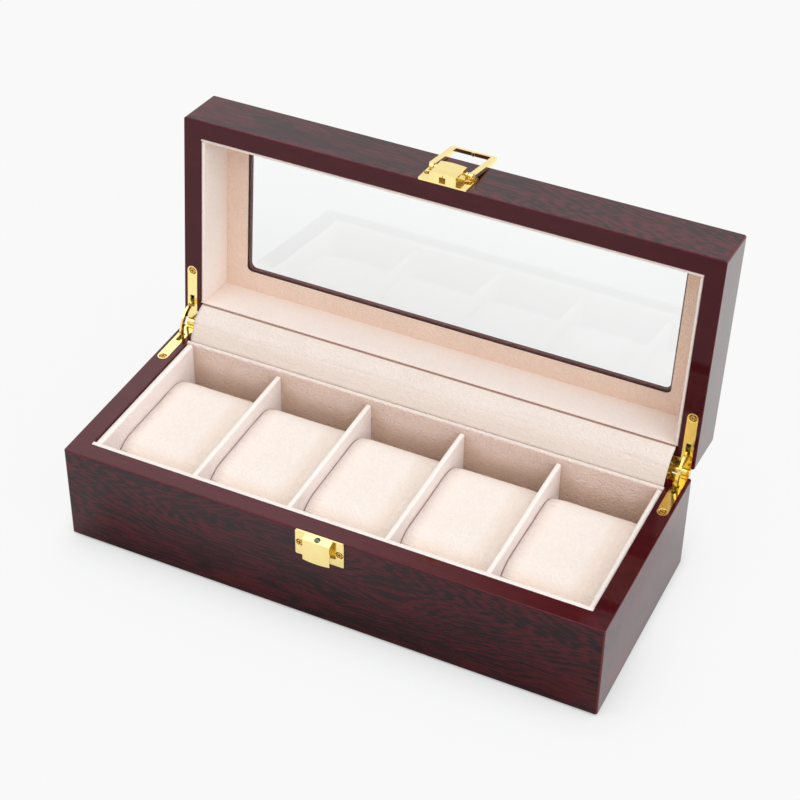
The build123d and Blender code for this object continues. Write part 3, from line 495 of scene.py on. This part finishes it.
def solids(node):
    """The corner points of each separate solid in a CAD node."""
    mesh = nodes[node].data
    root = list(range(len(mesh.vertices)))

    def find(k):
        while root[k] != k:
            root[k] = root[root[k]]
            k = root[k]
        return k

    for edge in mesh.edges:
        a, b = (find(k) for k in edge.vertices)
        root[max(a, b)] = min(a, b)
    groups = {}
    for v in mesh.vertices:
        groups.setdefault(find(v.index), []).append(nodes[node].matrix_world @ v.co)
    return [groups[key] for key in sorted(groups)]


SCREW_TONE = (0.95, 0.59, 0.15)
SCREW_SHADE = (0.16, 0.075, 0.02)
SCREW_TOP = 0.05 * MM  # points this close below the highest are on the head
SCREW_EDGE = (0.76, 0.93)  # shares of its radius between which painted shade darkens a head to its edge


def screw_gilt(name, screws, face):
    """Gilt screw heads: painted umber shade round the countersink's edge and in the driver slots.
    """
    s = Shader(name)
    place = s.coords()
    radial, radius = None, 0.0
    for points in screws:
        top = max(p.dot(face) for p in points)
        head = [p for p in points if p.dot(face) > top - SCREW_TOP]
        middle = Vector([(min(p[k] for p in head) + max(p[k] for p in head)) / 2 for k in range(3)])
        radius = max((p - middle).length for p in head)
        offset = s.vector_math("SUBTRACT", place, tuple(middle))
        away = s.vector_math("LENGTH", s.vector_math("CROSS_PRODUCT", offset, tuple(face)))
        radial = away if radial is None else s.math("MINIMUM", radial, away)
    # Painted shade round each head's edge, as of the countersink, and in the slots.
    edge = s.smooth(radial, *(share * radius for share in SCREW_EDGE))
    slot = s.crevice(SLOT_REACH, 0.15, 0.5)
    tone = s.mix(s.math("MAXIMUM", edge, slot), SCREW_TONE, SCREW_SHADE)
    s.set(Base_Color=tone, Metallic=0.95, IOR=1.5, Roughness=0.24)
    return s.material


LID_FRONT_FACE = Vector((0, -math.cos(LID_OPEN), math.sin(LID_OPEN)))
LID_RIM_FACE = Vector((0, -math.sin(LID_OPEN), -math.cos(LID_OPEN)))
SCREW_FACES = {  # which way each node's screw heads face
    "catch_screws": Vector((0, -1, 0)),
    "latch_screws": LID_FRONT_FACE,
    "base_hinge_screws": Vector((0, 0, 1)),
    "lid_hinge_screws": LID_RIM_FACE,
}


def dress(node, material):
    """Give every slot of a CAD node one material."""
    for slot in nodes[node].material_slots:
        slot.material = material


for node in nodes:
    if node.endswith("_panel"):
        right = node == "base_right_panel"
        base_wood = WOOD_BASE_RIGHT_SHADED if right else WOOD_BASE
        dress(node, WOOD_LID if node.startswith("lid") else base_wood)
    elif node == "lid_velvet_mat":
        dress(node, VELVET_MAT)
    elif node == "base_back_lining":
        dress(node, VELVET_BACK)
    elif node.startswith("lid") and node.endswith("_lining"):
        dress(node, VELVET_LID_LIT)
    elif node in SCREW_FACES:
        dress(node, screw_gilt(f"gilt_{node}", solids(node), SCREW_FACES[node]))
    elif node.endswith("_lining") or node.startswith("divider"):
        dress(node, VELVET)
    elif node == "base_felt":
        dress(node, FELT)
    elif node == "lid_glass":
        dress(node, GLASS)
    elif node == "catch_stud":
        dress(node, STEEL)
    # The right hinge and stay take the gilt copy with the painted darker reflection.
    elif node in ("stay_right", "lid_hinge_leaf_right", "base_hinge_leaf_right"):
        dress(node, GILT_DARK_REFLECTION)
    elif not node.startswith(("pillow", "hinge_cover")):
        dress(node, GILT)


def new_object(name, data):
    """An object of this mesh, lamp or camera, linked to the scene."""
    obj = bpy.data.objects.new(name, data)
    scene.collection.objects.link(obj)
    return obj


def finish_cloth(obj, material):
    """Bake an object's modifiers into its mesh, smooth it and give it one material."""
    graph = bpy.context.evaluated_depsgraph_get()
    made = bpy.data.meshes.new_from_object(obj.evaluated_get(graph))
    obj.modifiers.clear()
    old = obj.data
    obj.data = made
    bpy.data.meshes.remove(old)
    for polygon in made.polygons:
        polygon.use_smooth = True
    made.materials.clear()
    made.materials.append(material)


# --- Hinge cover -----------------------------------------------------------------------------
COVER_REACH = 13.85 * MM  # middle of the cloth from the hinge axis, at the rims
COVER_CROWN = 11.8 * MM  # and halfway round
COVER_THICKNESS = 0.8 * MM
COVER_HALF_LENGTH = 141.0 * MM
COVER_TUCK = 8.0 * MM
ARC_STEPS = 28
TUCK_STEPS = 4
COVER_COLUMNS = 190
COVER_SLACK = 0.35 * MM
CREASE_STEP = 12.5  # where the long crease runs, in steps along the arc
CREASE_WANDER = 1.6  # steps
CREASE_WIDTH = 0.9  # steps
CREASE_DEPTH = 0.50 * MM


def swung(reach, angle):
    """Where a point of the lid's rim plane, this far in front of the axis, swings to."""
    rise = HINGE_Z - RIM_Z
    y = HINGE_Y - reach * math.cos(angle) - rise * math.sin(angle)
    return y, HINGE_Z + reach * math.sin(angle) - rise * math.cos(angle)


def cover_profile():
    """Points of the strip's middle line in (y, z), from inside the base to inside the lid."""
    first, last = swung(COVER_REACH, 0.0), swung(COVER_REACH, LID_OPEN)
    points = [(first[0], first[1] - COVER_TUCK * (1 - k / TUCK_STEPS)) for k in range(TUCK_STEPS)]
    for k in range(ARC_STEPS + 1):
        share = k / ARC_STEPS
        bow = 4 * share * (1 - share)
        reach = COVER_REACH + (COVER_CROWN - COVER_REACH) * bow**0.8
        points.append(swung(reach, LID_OPEN * share))
    for k in range(1, TUCK_STEPS + 1):
        run = COVER_TUCK * k / TUCK_STEPS
        points.append((last[0] + math.sin(LID_OPEN) * run, last[1] + math.cos(LID_OPEN) * run))
    return points


def make_cover(profile):
    """The strip's mesh: the profile swept along X, a little slack, with one long soft crease."""
    bm = bmesh.new()
    rows = []
    for column in range(COVER_COLUMNS + 1):
        x = COVER_HALF_LENGTH * (2 * column / COVER_COLUMNS - 1)
        row = []
        for index, (y, z) in enumerate(profile):
            step = index - TUCK_STEPS
            free = max(0.0, math.sin(math.pi * min(max(step / ARC_STEPS, 0.0), 1.0)))
            slack = COVER_SLACK * free * noise.noise(Vector((x * 18, step * 0.12, 3.1)))
            wander = CREASE_WANDER * noise.noise(Vector((x * 14, 7.7, 0)))
            off_crease = (step - CREASE_STEP - wander) / CREASE_WIDTH
            crease = math.exp(-(off_crease**2))
            ridge = CREASE_DEPTH * crease * (0.7 + 0.8 * noise.noise(Vector((x * 30, 1.3, 9))))
            reach = 1 + (slack - ridge) / COVER_CROWN if 0 <= step <= ARC_STEPS else 1.0
            place = (x, HINGE_Y + (y - HINGE_Y) * reach, HINGE_Z + (z - HINGE_Z) * reach)
            row.append(bm.verts.new(place))
        rows.append(row)
    for left, right in zip(rows, rows[1:]):
        for a in range(len(profile) - 1):
            bm.faces.new((left[a], right[a], right[a + 1], left[a + 1]))
    mesh = bpy.data.meshes.new("hinge_cover_cloth")
    bm.to_mesh(mesh)
    bm.free()
    # The material reads each point's share of the way over the hinge gap.
    along = mesh.attributes.new("along", "FLOAT", "POINT")
    for k in range(len(mesh.vertices)):
        along.data[k].value = (k % len(profile) - TUCK_STEPS) / ARC_STEPS
    cover = new_object("hinge_cover_cloth", mesh)
    thick = cover.modifiers.new("thick", "SOLIDIFY")
    thick.thickness = COVER_THICKNESS
    thick.offset = 0.0
    finish_cloth(cover, VELVET_COVER)
    return cover


profile = cover_profile()
cover = make_cover(profile)
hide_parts("hinge_cover")
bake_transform(cover)

# --- Pillows ---------------------------------------------------------------------------------
SECTION_STEPS = 96  # points round a cushion
LENGTH_STEPS = 30
CAP_STEPS = 9  # rings on each end
PILLOW_SLACK = (0.8 * MM, 0.6 * MM)  # how much smaller the blank is, all round, in Y and Z
PILLOW_HELD = 9 * MM  # the underside is held to this height
PILLOW_CAP = 2.0 * MM  # the most a point may move in the simulation
STUFFING_FRAMES = 20
PILLOW_ROUNDING = 0.45  # of the height
# By side of the section: the angle a corner's arc starts from, and where its centre is.
CORNERS = {1: (90, 1, 1), 3: (0, 1, -1), 5: (-90, -1, -1), 7: (-180, -1, 1)}


def rounded_section(half_y, half_z, radius, steps):
    """Points round a rounded rectangle, evenly spaced, as (y, z) about its centre."""
    straight_y, straight_z = 2 * (half_y - radius), 2 * (half_z - radius)
    quarter = math.pi * radius / 2
    lengths = [straight_y, quarter, straight_z, quarter] * 2
    total = sum(lengths)
    points = []
    for k in range(steps):
        run = total * k / steps
        side = 0
        while run > lengths[side]:
            run -= lengths[side]
            side += 1
        if side == 0:
            points.append((-half_y + radius + run, half_z))
        elif side == 2:
            points.append((half_y, half_z - radius - run))
        elif side == 4:
            points.append((half_y - radius - run, -half_z))
        elif side == 6:
            points.append((-half_y, -half_z + radius + run))
        else:
            first, sign_y, sign_z = CORNERS[side]
            angle = math.radians(first) - run / radius
            y = sign_y * (half_y - radius) + radius * math.cos(angle)
            z = sign_z * (half_z - radius) + radius * math.sin(angle)
            points.append((y, z))
    return points


def pillow_blank(name, low, high):
    """A slack pillow: a rounded tube along X with a flat sewn cap at each end."""
    half_x = (high.x - low.x) / 2
    half_y = (high.y - low.y) / 2 - PILLOW_SLACK[0]
    half_z = (high.z - low.z) / 2 - PILLOW_SLACK[1]
    section = rounded_section(half_y, half_z, PILLOW_ROUNDING * 2 * half_z, SECTION_STEPS)
    bm = bmesh.new()
    rings = []
    for k in range(LENGTH_STEPS + 1):
        x = half_x * (2 * k / LENGTH_STEPS - 1)
        rings.append([bm.verts.new((x, y, z)) for y, z in section])
    for a, b in zip(rings, rings[1:]):
        for k in range(SECTION_STEPS):
            n = (k + 1) % SECTION_STEPS
            bm.faces.new((a[k], a[n], b[n], b[k]))
    for ring, x in ((rings[0], -half_x), (rings[-1], half_x)):
        previous = ring
        for c in range(1, CAP_STEPS):
            shrink = 1 - c / CAP_STEPS
            current = [bm.verts.new((x, y * shrink, z * shrink)) for y, z in section]
            for k in range(SECTION_STEPS):
                n = (k + 1) % SECTION_STEPS
                quad = (previous[n], previous[k], current[k], current[n])
                bm.faces.new(quad if x < 0 else quad[::-1])
            previous = current
        middle = bm.verts.new((x, 0, 0))
        for k in range(SECTION_STEPS):
            n = (k + 1) % SECTION_STEPS
            corner = (previous[n], previous[k], middle)
            bm.faces.new(corner if x < 0 else corner[::-1])
    bmesh.ops.recalc_face_normals(bm, faces=bm.faces)
    mesh = bpy.data.meshes.new(name)
    bm.to_mesh(mesh)
    bm.free()
    obj = new_object(name, mesh)
    obj.location = (low + high) / 2
    return obj, half_x


def stuff(obj, half_x):
    """Blow the blank up as cloth, its seams and underside held, then keep the result."""
    mesh = obj.data
    start = [v.co.copy() for v in mesh.vertices]
    lowest = min(p.z for p in start)
    group = obj.vertex_groups.new(name="held")
    for v in mesh.vertices:
        seam = abs(abs(v.co.x) - half_x) < 0.1 * MM
        under = v.co.z < lowest + PILLOW_HELD
        if seam or under:
            group.add([v.index], 1.0, "REPLACE")
    cloth = obj.modifiers.new("cloth", "CLOTH")
    settings = cloth.settings
    settings.quality = 6
    settings.mass = 0.25
    settings.tension_stiffness = 18
    settings.compression_stiffness = 18
    settings.shear_stiffness = 8
    settings.bending_stiffness = 1.2
    settings.use_pressure = True
    settings.uniform_pressure_force = 4.0
    settings.vertex_group_mass = "held"
    settings.effector_weights.gravity = 0.0
    cloth.collision_settings.use_collision = False
    cloth.collision_settings.use_self_collision = False
    for step in range(STUFFING_FRAMES):
        scene.frame_set(step + 1)
    graph = bpy.context.evaluated_depsgraph_get()
    blown = obj.evaluated_get(graph).to_mesh()
    ends = [v.co.copy() for v in blown.vertices]
    obj.evaluated_get(graph).to_mesh_clear()
    obj.modifiers.clear()
    obj.vertex_groups.clear()
    scene.frame_set(1)
    for v, a, b in zip(mesh.vertices, start, ends):
        move = b - a
        if move.length > PILLOW_CAP:
            move *= PILLOW_CAP / move.length
        v.co = a + move


END_FALL = (1.8 * MM, 1.4 * MM)  # how far the top drops to the left and right seams
END_FALL_SPAN = 9 * MM
GROOVE_DEPTH = (1.0 * MM, 1.7 * MM)  # the soft crease on the right: of four pillows, of the last
GROOVE_PLACE = 9.5 * MM  # in from the right seam
GROOVE_WIDTH = 3.0 * MM
GROOVE_BACK = 30 * MM  # it has died out here, behind the middle
GROOVE_FADE = 27 * MM
GROOVE_WANDER = 1.5 * MM
PUCKER = 0.5 * MM
PUCKER_SPAN = 7 * MM  # how far the puckers reach in from the right seam
PUCKER_SCALE = (60, 420)  # per metre, along X and along the seam
LUMP = 0.5 * MM
LUMP_SCALE = 30  # per metre
SEAM_INSET = 0.35 * MM  # the most that a seam is drawn in
PILLOW_SWELL = 0.2 * MM  # the cloth bulges this far past the CAD pillow at each end


def soften(mesh, number, half_x, half_height):
    """Give one cushion its own lumps, crease, puckers and falling ends."""
    for v in mesh.vertices:
        p = v.co
        up = max(0.0, p.z / half_height)
        # Each cushion takes its noise from a place of its own.
        x, y, z = (c * LUMP_SCALE for c in p)
        seed = Vector((x + number * 17.3, y, z + number * 5.1))
        end = min(1.0, max(0.0, (abs(p.x) - (half_x - END_FALL_SPAN)) / END_FALL_SPAN))
        fall = END_FALL[p.x > 0] * end * end * up
        wander = GROOVE_WANDER * noise.noise(Vector((p.y * 40, number * 3.7, 0)))
        groove = math.exp(-(((p.x - half_x + GROOVE_PLACE + wander) / GROOVE_WIDTH) ** 2))
        groove *= min(1.0, max(0.0, (GROOVE_BACK - p.y) / GROOVE_FADE))
        ribs = max(0.0, p.x - half_x + PUCKER_SPAN) / PUCKER_SPAN
        puckers = Vector((p.x * PUCKER_SCALE[0], p.y * PUCKER_SCALE[1], number * 9.1))
        ribs *= noise.noise(puckers)
        lump = LUMP * noise.noise(seed)
        p.z += up * (lump - GROOVE_DEPTH[number == 5] * groove + PUCKER * ribs) - fall
        p.x *= 1 + PILLOW_SWELL / half_x
        if abs(p.x) > half_x - 1 * MM:
            p.x -= math.copysign(max(0.0, SEAM_INSET * noise.noise(seed * 2.3)), p.x)


pillow_low, pillow_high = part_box("pillow_1")
model, model_half = pillow_blank("pillow_model", pillow_low, pillow_high)
stuff(model, model_half)

for number in range(1, 6):
    low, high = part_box(f"pillow_{number}")
    mesh = model.data.copy()
    mesh.name = f"pillow_{number}_cloth"
    soften(mesh, number, model_half, 0.5 * (high.z - low.z))
    pillow = new_object(f"pillow_{number}_cloth", mesh)
    pillow.location = (low + high) / 2
    fine = pillow.modifiers.new("fine", "SUBSURF")
    fine.levels = fine.render_levels = 1
    finish_cloth(pillow, VELVET_PILLOW)
    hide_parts(f"pillow_{number}")
    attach(pillow, f"pillow_{number}")
bpy.data.objects.remove(model)

# --- Floor, light and camera -----------------------------------------------------------------
FLOOR_HALF = 6.0
FLOOR_WHITE = (0.865, 0.885, 0.885)
SURROUND_WHITE = 0.947  # level of the plain background
SHADOW_NEAR = 0.64  # share of lit paper in what the camera sees of the floor, beside the case
SHADOW_FAR = 0.06  # and well away from it
SHADOW_REACH = 16 * MM
SHADOW_LEFT = (-168 * MM, -142 * MM)  # along X, where it begins and is full
RIGHT_BACK_X = (150 * MM, 158 * MM)  # a fainter stretch of it, by the back of the right end
RIGHT_BACK_Y = (-45 * MM, 20 * MM)
RIGHT_BACK_LOSS = 0.7
LEE_SHADE = 0.44  # brightness, in reflections and bounce light, of the paper close to the case's front and back: a painted shadow
LEE_END = (125 * MM, 165 * MM)  # either way along X, where that begins to fade and is gone
LEE_DEPTH = 55 * MM  # away from the case, where it is gone
GLOSS_LIFT = 0.09  # a painted glow that brings the paper up to the background in reflections
FRONT_DIM = 0.50  # painted shade: how far reflections of the paper are dimmed before the right half
FRONT_DIM_X = (-60 * MM, 90 * MM)
FRONT_DIM_Y = (-55 * MM, -65 * MM)
RIGHT_DIM = 0.42  # and beside the right end
RIGHT_DIM_X = (152 * MM, 172 * MM)
RIGHT_DIM_Y = (105 * MM, 65 * MM)


def paper(name):
    """White paper. The camera sees it as plain background with a soft shadow close round the
    case. Reflections and bounce light see a painted shadow on it close to the case, and
    reflections a painted glow away from it."""
    s = Shader(name)
    s.set(Roughness=1.0, Specular_IOR_Level=0.0)
    x, y, _ = s.split(s.coords())
    beside = s.math("SUBTRACT", s.math("ABSOLUTE", x), HALF_LENGTH)
    beside = s.math("MAXIMUM", beside, 0.0)
    before = s.math("SUBTRACT", s.math("ABSOLUTE", y), HALF_DEPTH)
    before = s.math("MAXIMUM", before, 0.0)
    away = s.math("ADD", s.math("MULTIPLY", beside, beside), s.math("MULTIPLY", before, before))
    away = s.math("SQRT", away)
    near = s.math("EXPONENT", s.math("MULTIPLY", away, -1 / SHADOW_REACH))
    near = s.math("MULTIPLY", near, s.smooth(x, *SHADOW_LEFT))
    right_back = s.math("MULTIPLY", s.smooth(x, *RIGHT_BACK_X), s.smooth(y, *RIGHT_BACK_Y))
    near = s.math("MULTIPLY", near, s.math("MULTIPLY_ADD", right_back, -RIGHT_BACK_LOSS, 1.0))
    share = s.math("MULTIPLY_ADD", near, SHADOW_NEAR - SHADOW_FAR, SHADOW_FAR)

    # Painted shadow: for reflections and bounce light the paper is darker close to the case, and
    # dimmer before its right half and beside its right end.
    unshaded_floor = s.smooth(s.math("ABSOLUTE", x), *LEE_END)
    unshaded_floor = s.math("MAXIMUM", unshaded_floor, s.smooth(away, 0.0, LEE_DEPTH))
    front_dim = s.math("MULTIPLY", s.smooth(x, *FRONT_DIM_X), s.smooth(y, *FRONT_DIM_Y))
    right_dim = s.math("MULTIPLY", s.smooth(x, *RIGHT_DIM_X), s.smooth(y, *RIGHT_DIM_Y))
    dim = s.math("MULTIPLY", right_dim, RIGHT_DIM)
    dim = s.math("ADD", s.math("MULTIPLY", front_dim, FRONT_DIM), dim)
    bright = s.math("SUBTRACT", 1.0, s.math("MINIMUM", dim, FRONT_DIM))
    unshaded_floor = s.math("MULTIPLY", unshaded_floor, bright)

    ray = s.add("ShaderNodeLightPath")
    to_camera = ray.outputs["Is Camera Ray"]
    reflected = s.mix(unshaded_floor, tinted(FLOOR_WHITE, (LEE_SHADE,) * 3), FLOOR_WHITE)
    lit = s.mix(share, (0.0, 0.0, 0.0), FLOOR_WHITE)
    s.set(Base_Color=s.mix(to_camera, reflected, lit))
    s.bsdf.inputs["Emission Color"].default_value = (1, 1, 1, 1)
    unlit = s.math("MULTIPLY", s.math("SUBTRACT", 1.0, share), SURROUND_WHITE)
    unlit = s.math("MULTIPLY", to_camera, unlit)
    mirrored = s.math("SUBTRACT", 1.0, ray.outputs["Is Transmission Ray"])
    mirrored = s.math("MULTIPLY", ray.outputs["Is Glossy Ray"], mirrored)
    # Painted glow of the paper in reflections, away from the case.
    glow = s.math("MULTIPLY", s.math("MULTIPLY", mirrored, unshaded_floor), GLOSS_LIFT)
    s.set(Emission_Strength=s.math("ADD", unlit, glow))
    return s.material


floor_mesh = bpy.data.meshes.new("floor")
signs = [(-1, -1), (1, -1), (1, 1), (-1, 1)]
floor_corners = [(FLOOR_HALF * x, FLOOR_HALF * y, 0) for x, y in signs]
floor_mesh.from_pydata(floor_corners, [], [(0, 1, 2, 3)])
floor = new_object("floor", floor_mesh)
floor_mesh.materials.append(paper("paper"))
floor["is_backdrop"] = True

# The studio that gloss sees. A direction's height is its Z, and its side is its X.
SWEEP_END = (0.50, 0.66)  # heights between which the white sweep gives way to the ceiling
CEILING = 0.06
SOFTBOX = 1.6  # a lamp on the left; each span is where it begins and where it is full
SOFTBOX_BOTTOM = (0.52, 0.60)
SOFTBOX_TOP = (0.76, 0.72)
SOFTBOX_SIDE = (-0.19, -0.37)
GLOW = 0.8  # a dimmer band to the right of it, level with its top
GLOW_BOTTOM = (0.692, 0.700)
GLOW_SIDE = (-0.225, -0.212)
ZENITH = 0.45  # the ceiling overhead
ZENITH_START = (0.76, 0.85)
FILL = (0.50, 0.45, 0.415)  # what matt surfaces see


class Sky(Shader):
    """The world's node tree under construction, ending in one Background."""

    def __init__(self, name):
        world = bpy.data.worlds.new(name)
        scene.world = world
        world.use_nodes = True
        self.tree = world.node_tree
        self.tree.nodes.clear()
        self.output = self.add("ShaderNodeOutputWorld")
        self.background = self.add("ShaderNodeBackground")
        self.link(self.background, 0, self.output, 0)


def studio(name):
    """The world: a dim warm fill, a plain background for camera and glass, lamps for gloss."""
    s = Sky(name)
    side, _, height = s.split(s.coords("Generated"))
    above = s.smooth(height, *SWEEP_END)
    sweep = s.math("MULTIPLY_ADD", above, CEILING - SURROUND_WHITE, SURROUND_WHITE)
    under_top = s.smooth(height, *SOFTBOX_TOP)
    box = s.math("MULTIPLY", s.smooth(height, *SOFTBOX_BOTTOM), under_top)
    box = s.math("MULTIPLY", box, s.smooth(side, *SOFTBOX_SIDE))
    band = s.math("MULTIPLY", s.smooth(height, *GLOW_BOTTOM), s.smooth(side, *GLOW_SIDE))
    band = s.math("MULTIPLY", band, under_top)
    zenith = s.smooth(height, *ZENITH_START)
    gloss = sweep
    for lamp, strength in ((box, SOFTBOX), (band, GLOW), (zenith, ZENITH)):
        gloss = s.math("MAXIMUM", gloss, s.math("MULTIPLY", lamp, strength))

    ray = s.add("ShaderNodeLightPath")
    unreflected = s.math("SUBTRACT", 1.0, s.math("GREATER_THAN", ray.outputs["Glossy Depth"], 0.5))
    seen_through = s.math("MULTIPLY", ray.outputs["Is Transmission Ray"], unreflected)
    clear = s.math("MAXIMUM", ray.outputs["Is Camera Ray"], seen_through)
    glossy = ray.outputs["Is Glossy Ray"]
    glossy = s.math("MAXIMUM", glossy, ray.outputs["Is Transmission Ray"])
    level = s.mix(glossy, FILL, s.join(gloss, gloss, gloss))
    level = s.mix(clear, level, (SURROUND_WHITE,) * 3)
    s.put(level, s.background, 0)


studio("studio")


def sun(name, direction, level, spread, color):
    """A soft distant lamp, spread degrees wide, that lights a white face square to it at level."""
    data = bpy.data.lights.new(name, "SUN")
    data.color = color
    data.energy = level * math.pi
    data.angle = math.radians(spread)
    lamp = new_object(name, data)
    lamp.rotation_mode = "QUATERNION"
    lamp.rotation_quaternion = (-Vector(direction)).to_track_quat("-Z", "Y")


sun("right", (1.0, -0.20, 0.45), 0.41, 70, (0.94, 1.0, 1.05))
sun("top", (0.05, -0.25, 1.0), 0.48, 75, (0.96, 1.0, 1.05))

# The camera as measured in the photo: its place, and the picture's axes in the frame.
CAMERA_PLACE = Vector((0.35842, -0.73949, 0.75730))
CAMERA_RIGHT = Vector((0.90205853, 0.43144704, 0.01199416))
CAMERA_DOWN = Vector((0.27746403, -0.55838062, -0.78180867))
CAMERA_FORWARD = Vector((-0.33061173, 0.70856513, -0.62340303))
FOCAL_PIXELS = 2060.68
IMAGE_SIZE = 800
SENSOR_WIDTH = 36.0

camera_data = bpy.data.cameras.new("camera")
camera_data.sensor_width = SENSOR_WIDTH
camera_data.lens = FOCAL_PIXELS * SENSOR_WIDTH / IMAGE_SIZE
camera = new_object("camera", camera_data)
axes = Matrix((CAMERA_RIGHT, -CAMERA_DOWN, -CAMERA_FORWARD)).transposed()
camera.matrix_world = Matrix.Translation(CAMERA_PLACE) @ axes.to_4x4()
scene.camera = camera

scene.view_settings.view_transform = "Standard"

low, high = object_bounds()
